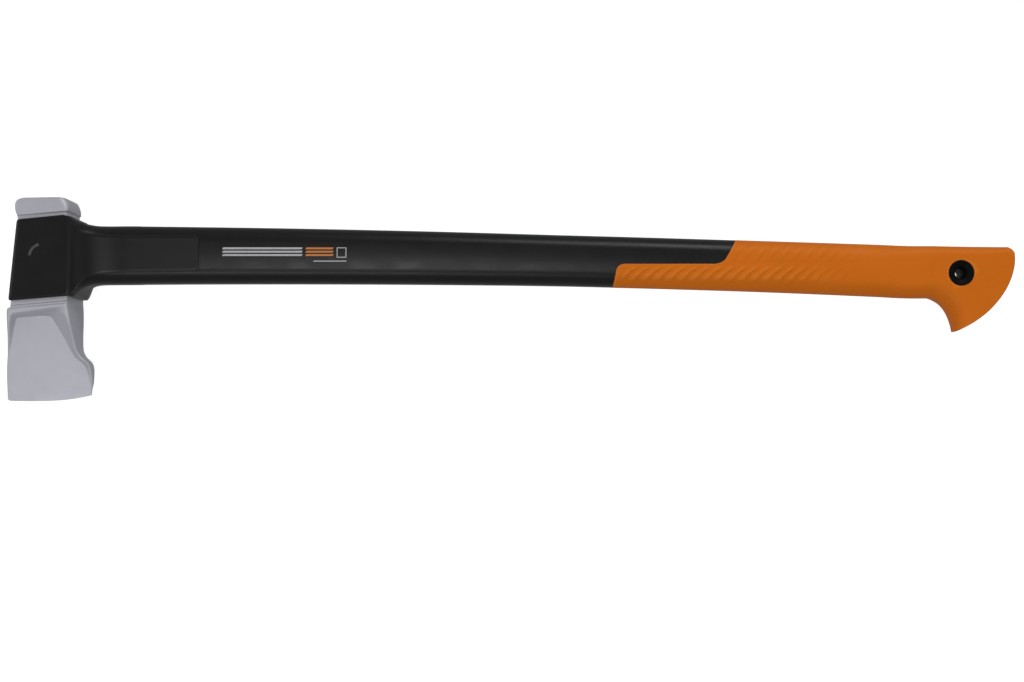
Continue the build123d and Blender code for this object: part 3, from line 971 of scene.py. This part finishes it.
def build_cap(name, node, side):
    """Faintly dished disc inside a fine groove, flush with the cheek."""
    profile = (
        (0.01, 0.02),
        (3.0, 0.04),
        (6.0, 0.08),
        (9.2, 0.12),
        (9.5, 0.10),
        (9.7, -0.40),
        (10.3, -0.40),
        (10.5, 0.14),
        (CAP_RADIUS, -0.12),
        (CAP_RADIUS, -2.4),
    )
    verts, faces = bridge(turned_rings(profile, 96, *cap_axes(side)))
    return new_object(name, verts, faces, (node,), sharp=35)


RIB_COUNT, RIB_START, RIB_STOP, RIB_HALF = 13, 104, 172, 1.8  # angles in degrees
RIB_RADII = (9.5, 11.7)
RIB_LAYERS = ((-0.4, 0.0), (0.34, 0.0), (0.46, 0.12))  # height, and how far the sides draw in


def build_cap_ribs(name, side):
    """Short ribbed arc on the cap's upper front rim, coloured a lighter grey as a painted highlight.
    """
    centre, right, up, out = cap_axes(side)
    verts = []
    faces = []
    reach = math.radians(RIB_HALF)
    for i in range(RIB_COUNT):
        turn = math.radians(mix(RIB_START, RIB_STOP, (i + 0.5) / RIB_COUNT))
        corners = []
        for angle in (turn - reach, turn + reach):
            spoke = right * math.cos(angle) + up * math.sin(angle)
            corners += [centre + spoke * radius for radius in RIB_RADII]
        middle = sum(corners, Vector()) / 4
        base = len(verts)
        for height, drawn in RIB_LAYERS:
            verts += [mix(c, middle, drawn) + out * height for c in corners]
        for low in (base, base + 4):
            high = low + 4
            for a, b in ((0, 1), (1, 3), (3, 2), (2, 0)):
                faces.append((low + a, low + b, high + b, high + a))
        faces.append((base + 8, base + 9, base + 11, base + 10))
        faces.append((base, base + 2, base + 3, base + 1))
    return new_object(name, verts, faces, sharp=30)


def shaft_half(x, y):
    """Half thickness of the shaft's moulding at a height of its side."""
    section = shaft_section(x)
    across = y - axis_y(x)
    side = section[END + ARC : END + ARC + SIDE + 1]
    for (a0, o0), (a1, o1) in zip(side, side[1:]):
        if across <= a1:
            break
    return mix(o0, o1, clamp((across - a0) / (a1 - a0)))


INK_RISE, INK_SUNK = 0.07, 0.10  # a bar's film over the plastic and in its skin


def build_bar(name, start, stop, low, high, slant):
    """Flat printed bar that lies on the shaft's side, its ends leaning by slant."""
    rows = []
    steps = max(2, round((stop - start) / 2))
    across = 4
    for i in range(steps + 1):
        row = []
        for j in range(across + 1):
            y = mix(low, high, j / across)
            x = mix(start, stop, i / steps) + slant * (j / across - 0.5)
            row.append((x, y, shaft_half(x, y)))
        rows.append(row)
    verts, faces = bridge(slab_rings(rows, 1, INK_RISE, INK_SUNK))
    return new_object(name, verts, faces, sharp=30)


def build_print():
    """Plain bands of pale and bright ink on the near side, with a small empty frame after them."""
    pale = []
    bright = []
    first_y, pitch, tall = 34.7, 2.7, 1.6
    for i in range(3):
        low = first_y + pitch * i
        pale.append(build_bar(f"print_pale_{i}", -231.0, -167.0, low, low + tall, 0.9))
        bright.append(build_bar(f"print_bright_{i}", -164.0, -142.0, low, low + tall, 0.9))
    pale.append(build_bar("print_fine", -158.0, -131.4, 30.2, 31.0, 0.3))
    for name, box in (
        ("low", (-139.2, -131.4, 33.4, 34.1)),
        ("high", (-139.2, -131.4, 41.0, 41.7)),
        ("left", (-139.2, -138.5, 34.1, 41.0)),
        ("right", (-132.1, -131.4, 34.1, 41.0)),
    ):
        pale.append(build_bar(f"print_frame_{name}", *box, 0.0))
    return pale, bright


head = build_head()
shaft = build_shaft()
grip = build_grip()
plates = [build_plate(f"cheek_panel_{n}", f"cheek_plate_{n}", d) for n, d in SIDES]
caps = [build_cap(f"cap_disc_{n}", f"cheek_cap_{n}", d) for n, d in SIDES]
ribs = [build_cap_ribs(f"cap_ribs_{n}", d) for n, d in SIDES]
core = build_core()
eyelets = [build_eyelet(f"eyelet_bush_{n}", f"eyelet_{n}", d) for n, d in SIDES]
pale_bars, bright_bars = build_print()


# ---- Materials ----
class Surface:
    """A Principled material with the few kinds of node that the surfaces here are made of."""

    def __init__(self, name):
        self.material = bpy.data.materials.new(name)
        self.material.use_nodes = True
        self.tree = self.material.node_tree
        self.shader = self.tree.nodes["Principled BSDF"]
        self.place = self.node("ShaderNodeTexCoord").outputs["Object"]

    def node(self, kind, **values):
        made = self.tree.nodes.new(kind)
        for key, value in values.items():
            setattr(made, key, value)
        return made

    def link(self, source, target):
        self.tree.links.new(source, target)

    def stretched(self, scale):
        """Place on the object in units of 1 / scale metres along x, y and z."""
        mapping = self.node("ShaderNodeMapping")
        mapping.inputs["Scale"].default_value = scale
        self.link(self.place, mapping.inputs["Vector"])
        return mapping.outputs["Vector"]

    def noise(self, scale, detail=3.0, roughness=0.5):
        if isinstance(scale, (int, float)):
            scale = (scale, scale, scale)
        texture = self.node("ShaderNodeTexNoise")
        texture.inputs["Scale"].default_value = 1.0
        texture.inputs["Detail"].default_value = detail
        texture.inputs["Roughness"].default_value = roughness
        self.link(self.stretched(scale), texture.inputs["Vector"])
        return texture.outputs["Fac"]

    def cells(self, scale):
        texture = self.node("ShaderNodeTexVoronoi")
        texture.inputs["Scale"].default_value = 1.0
        self.link(self.stretched((scale, scale, scale)), texture.inputs["Vector"])
        return texture.outputs["Distance"]

    def axis(self, letter):
        split = self.node("ShaderNodeSeparateXYZ")
        self.link(self.place, split.inputs["Vector"])
        return split.outputs[letter]

    def math(self, operation, a, b=0.0):
        node = self.node("ShaderNodeMath", operation=operation)
        for socket, value in zip(node.inputs, (a, b)):
            if isinstance(value, (int, float)):
                socket.default_value = value
            else:
                self.link(value, socket)
        return node.outputs[0]

    def ranged(self, value, low, high, start=0.0, stop=1.0):
        """value's low to high stretched to start to stop, with soft ends."""
        node = self.node("ShaderNodeMapRange", interpolation_type="SMOOTHSTEP")
        self.link(value, node.inputs["Value"])
        for socket, number in zip(node.inputs[1:5], (low, high, start, stop)):
            socket.default_value = number
        return node.outputs[0]

    def blend(self, share, first, second):
        node = self.node("ShaderNodeMix", data_type="RGBA")
        self.link(share, node.inputs["Factor"])
        for socket, colour in zip((node.inputs[6], node.inputs[7]), (first, second)):
            if isinstance(colour, tuple):
                socket.default_value = (*colour, 1.0)
            else:
                self.link(colour, socket)
        return node.outputs[2]

    def edge_wear_and_highlight(self, reach):
        """1 on the convex edges, 0 on the flats and in the hollows: where edges are lightened, part
        wear and part painted highlight.
        """
        shape = self.node("ShaderNodeNewGeometry")
        return self.ranged(shape.outputs["Pointiness"], 0.5 + reach * 0.2, 0.5 + reach)

    def bump(self, height, distance, strength=1.0, under=None):
        node = self.node("ShaderNodeBump")
        node.inputs["Distance"].default_value = distance
        node.inputs["Strength"].default_value = strength
        self.link(height, node.inputs["Height"])
        if under is not None:
            self.link(under, node.inputs["Normal"])
        return node.outputs["Normal"]

    def finish(self, colour, roughness, normal):
        self.link(colour, self.shader.inputs["Base Color"])
        self.link(roughness, self.shader.inputs["Roughness"])
        self.link(normal, self.shader.inputs["Normal"])
        return self.material


def forged_steel():
    """Blasted and lacquered steel: a fine even grain, with a ground edge and lighter corners, part
    wear and part painted highlight.
    """
    steel = Surface("forged_steel")
    steel.shader.inputs["Metallic"].default_value = 0.35
    cloud = steel.noise(38.0, 4.0)
    grain = steel.noise(2600.0, 2.0)
    blend = steel.blend(cloud, (0.530, 0.529, 0.584), (0.595, 0.594, 0.652))
    speckle = steel.ranged(grain, 0.30, 0.70)
    colour = steel.blend(speckle, blend, (0.555, 0.556, 0.605))
    # Convex corners lightened: part wear, part painted highlight.
    wear_and_highlight = steel.edge_wear_and_highlight(0.03)
    colour = steel.blend(wear_and_highlight, colour, (0.57, 0.572, 0.61))
    ground = steel.ranged(steel.axis("Y"), (EDGE_Y + 2.2) * MM, (EDGE_Y + 0.4) * MM)
    colour = steel.blend(ground, colour, (0.56, 0.562, 0.59))
    roughness = steel.ranged(steel.noise(120.0, 5.0), 0.3, 0.7, 0.40, 0.52)
    pits = steel.bump(grain, 0.00002, 0.35)
    brushed = steel.noise((900.0, 45.0, 900.0), 3.0)
    return steel.finish(colour, roughness, steel.bump(brushed, 0.00002, 0.25, pits))


def black_polyamide():
    """Glass-filled nylon: near black, a fine moulded grain and faint flow lines along the shaft."""
    plastic = Surface("black_polyamide")
    plastic.shader.inputs["Specular IOR Level"].default_value = 0.30
    flow = plastic.noise((9.0, 160.0, 160.0), 4.0)
    colour = plastic.blend(flow, (0.0045, 0.0046, 0.0048), (0.0066, 0.0066, 0.0069))
    speck = plastic.ranged(plastic.noise(1500.0, 2.0), 0.66, 0.80)
    colour = plastic.blend(speck, colour, (0.017, 0.017, 0.018))
    # Convex edges lightened to grey: part wear, part painted highlight.
    wear_and_highlight = plastic.edge_wear_and_highlight(0.05)
    colour = plastic.blend(wear_and_highlight, colour, (0.014, 0.014, 0.015))
    roughness = plastic.ranged(plastic.noise(60.0, 4.0), 0.3, 0.7, 0.30, 0.36)
    leather = plastic.bump(plastic.cells(1700.0), 0.00003, 0.30)
    return plastic.finish(colour, roughness, plastic.bump(flow, 0.0001, 0.15, leather))


def orange_elastomer():
    """Soft moulded grip: orange, a velvety grain, a little lighter on its convex edges, part wear and
    part painted highlight.
    """
    rubber = Surface("orange_elastomer")
    rubber.shader.inputs["Specular IOR Level"].default_value = 0.14
    cloud = rubber.noise(26.0, 4.0)
    colour = rubber.blend(cloud, (0.715, 0.162, 0.0040), (0.790, 0.190, 0.0062))
    dust = rubber.ranged(rubber.noise(420.0, 4.0), 0.55, 0.85)
    colour = rubber.blend(dust, colour, (0.76, 0.195, 0.014))
    # Convex edges lightened: part wear, part painted highlight.
    wear_and_highlight = rubber.edge_wear_and_highlight(0.04)
    colour = rubber.blend(wear_and_highlight, colour, (0.80, 0.22, 0.02))
    roughness = rubber.ranged(rubber.noise(75.0, 4.0), 0.3, 0.7, 0.44, 0.58)
    grain = rubber.bump(rubber.noise(3200.0, 3.0), 0.00003, 0.4)
    return rubber.finish(colour, roughness, rubber.bump(cloud, 0.0002, 0.1, grain))


def eyelet_plastic():
    """Polished black bush, turned with faint rings and scuffed by the cord."""
    bush = Surface("eyelet_plastic")
    bush.shader.inputs["Specular IOR Level"].default_value = 0.05
    scuff = bush.noise(300.0, 5.0)
    colour = bush.blend(scuff, (0.0035, 0.0035, 0.004), (0.007, 0.007, 0.0075))
    roughness = bush.ranged(scuff, 0.3, 0.7, 0.45, 0.55)
    return bush.finish(colour, roughness, bush.bump(bush.noise(900.0, 3.0), 0.00002, 0.2))


def core_foam():
    """Structural foam inside the pommel."""
    foam = Surface("core_foam")
    pores = foam.cells(900.0)
    colour = foam.blend(pores, (0.05, 0.05, 0.05), (0.11, 0.105, 0.10))
    roughness = foam.ranged(pores, 0.0, 0.6, 0.75, 0.9)
    return foam.finish(colour, roughness, foam.bump(pores, 0.0002, 0.6))


def print_ink(name, thin, full):
    """Pad-printed ink, a little uneven where it crosses the plastic's grain."""
    ink = Surface(name)
    cover = ink.ranged(ink.noise(1500.0, 3.0), 0.25, 0.55)
    colour = ink.blend(cover, thin, full)
    roughness = ink.ranged(cover, 0.0, 1.0, 0.6, 0.45)
    return ink.finish(colour, roughness, ink.bump(cover, 0.00002, 0.4))


def paint(obj, material):
    obj.data.materials.clear()
    obj.data.materials.append(material)


steel, plastic, rubber = forged_steel(), black_polyamide(), orange_elastomer()
bush, foam = eyelet_plastic(), core_foam()
pale_ink = print_ink("pale_ink", (0.36, 0.36, 0.37), (0.52, 0.52, 0.53))
bright_ink = print_ink("bright_ink", (0.50, 0.16, 0.03), (0.62, 0.21, 0.035))
# The ribs' lighter grey is a painted highlight on the cap's rim.
rib_painted_highlight = print_ink("rib_painted_highlight", (0.085, 0.085, 0.088), (0.12, 0.12, 0.125))
finishes = (
    ((head,), steel),
    ((shaft, *plates, *caps), plastic),
    ((grip,), rubber),
    (ribs, rib_painted_highlight),
    (pale_bars, pale_ink),
    (bright_bars, bright_ink),
    (eyelets, bush),
    ((core,), foam),
)
for objects, finish in finishes:
    for obj in objects:
        paint(obj, finish)


# ---- Floor, light and camera ----
def stage(obj):
    """White behind the tool, without lighting it or showing in it."""
    obj.visible_diffuse = False
    obj.visible_glossy = False


def new_wall(name, radius, height):
    """Round wall that closes the studio round its floor."""
    bm = bmesh.new()
    bmesh.ops.create_cone(bm, segments=96, radius1=radius, radius2=radius, depth=height)
    mesh = bpy.data.meshes.new(name)
    bm.to_mesh(mesh)
    bm.free()
    wall = bpy.data.objects.new(name, mesh)
    bpy.context.scene.collection.objects.link(wall)
    return wall


STUDIO_RADIUS, STUDIO_HEIGHT = 30.0, 40.0
FLOOR_Z = -0.0004  # just clear of the tool


def build_studio():
    """Floor and wall of the same plain white paper."""
    bpy.ops.mesh.primitive_plane_add(size=2 * STUDIO_RADIUS, location=(0, 0, FLOOR_Z))
    floor = bpy.context.object
    floor.name = "studio_floor"
    paper = Surface("studio_paper")
    cloud = paper.noise(3.0, 3.0)
    colour = paper.blend(cloud, (0.42, 0.42, 0.42), (0.44, 0.44, 0.44))
    roughness = paper.ranged(cloud, 0.0, 1.0, 0.85, 0.95)
    paper.finish(colour, roughness, paper.bump(cloud, 0.0001, 0.1))
    paper.shader.inputs["Emission Color"].default_value = (1.0, 1.0, 1.0, 1.0)
    paper.shader.inputs["Emission Strength"].default_value = 0.88
    paint(floor, paper.material)
    stage(floor)
    wall = new_wall("studio_wall", STUDIO_RADIUS, STUDIO_HEIGHT)
    paint(wall, paper.material)
    stage(wall)
    wall.visible_shadow = False


def softbox(name, location, target, size, power):
    """Rectangular light that the camera doesn't see."""
    light = bpy.data.lights.new(name, "AREA")
    light.shape = "RECTANGLE"
    light.size, light.size_y = size
    light.energy = power
    lamp = bpy.data.objects.new(name, light)
    lamp.location = location
    aim = Vector(target) - Vector(location)
    lamp.rotation_euler = aim.to_track_quat("-Z", "Y").to_euler()
    lamp.visible_camera = False
    bpy.context.scene.collection.objects.link(lamp)


def build_light():
    scene = bpy.context.scene
    world = bpy.data.worlds.new("studio")
    world.use_nodes = True
    background = world.node_tree.nodes["Background"]
    background.inputs["Color"].default_value = (0.97, 0.98, 1.0, 1.0)
    background.inputs["Strength"].default_value = 0.32
    scene.world = world
    scene.view_settings.view_transform = "Standard"
    softbox("box_left", (-2.3, 0.3, 0.9), (-0.2, 0, 0), (1.4, 1.2), 6.0)
    softbox("box_low", (-0.7, -1.25, 1.75), (-0.3, 0, 0), (1.4, 0.5), 6.0)
    softbox("box_high", (0.65, 1.6, 1.0), (0.3, 0, 0), (1.2, 0.7), 11.0)
    softbox("box_right", (1.8, -0.1, 1.5), (0.2, 0, 0), (1.2, 1.2), 1.5)
    softbox("box_top", (-0.26, -0.16, 2.2), (-0.26, -0.16, 0), (0.7, 0.28), 5.6)


def build_camera():
    camera = bpy.data.cameras.new("camera")
    camera.lens = 58.4
    camera.sensor_width = 36.0
    camera.clip_start = 0.01
    eye = bpy.data.objects.new("camera", camera)
    eye.location = (0.002, -0.0892, 1.381)
    pitch = math.atan2(0.0561, 1.35)  # it looks down on the tool, a little towards the poll
    eye.rotation_euler = (pitch, 0.0, 0.0)
    bpy.context.scene.collection.objects.link(eye)
    bpy.context.scene.camera = eye


build_studio()
build_light()
build_camera()
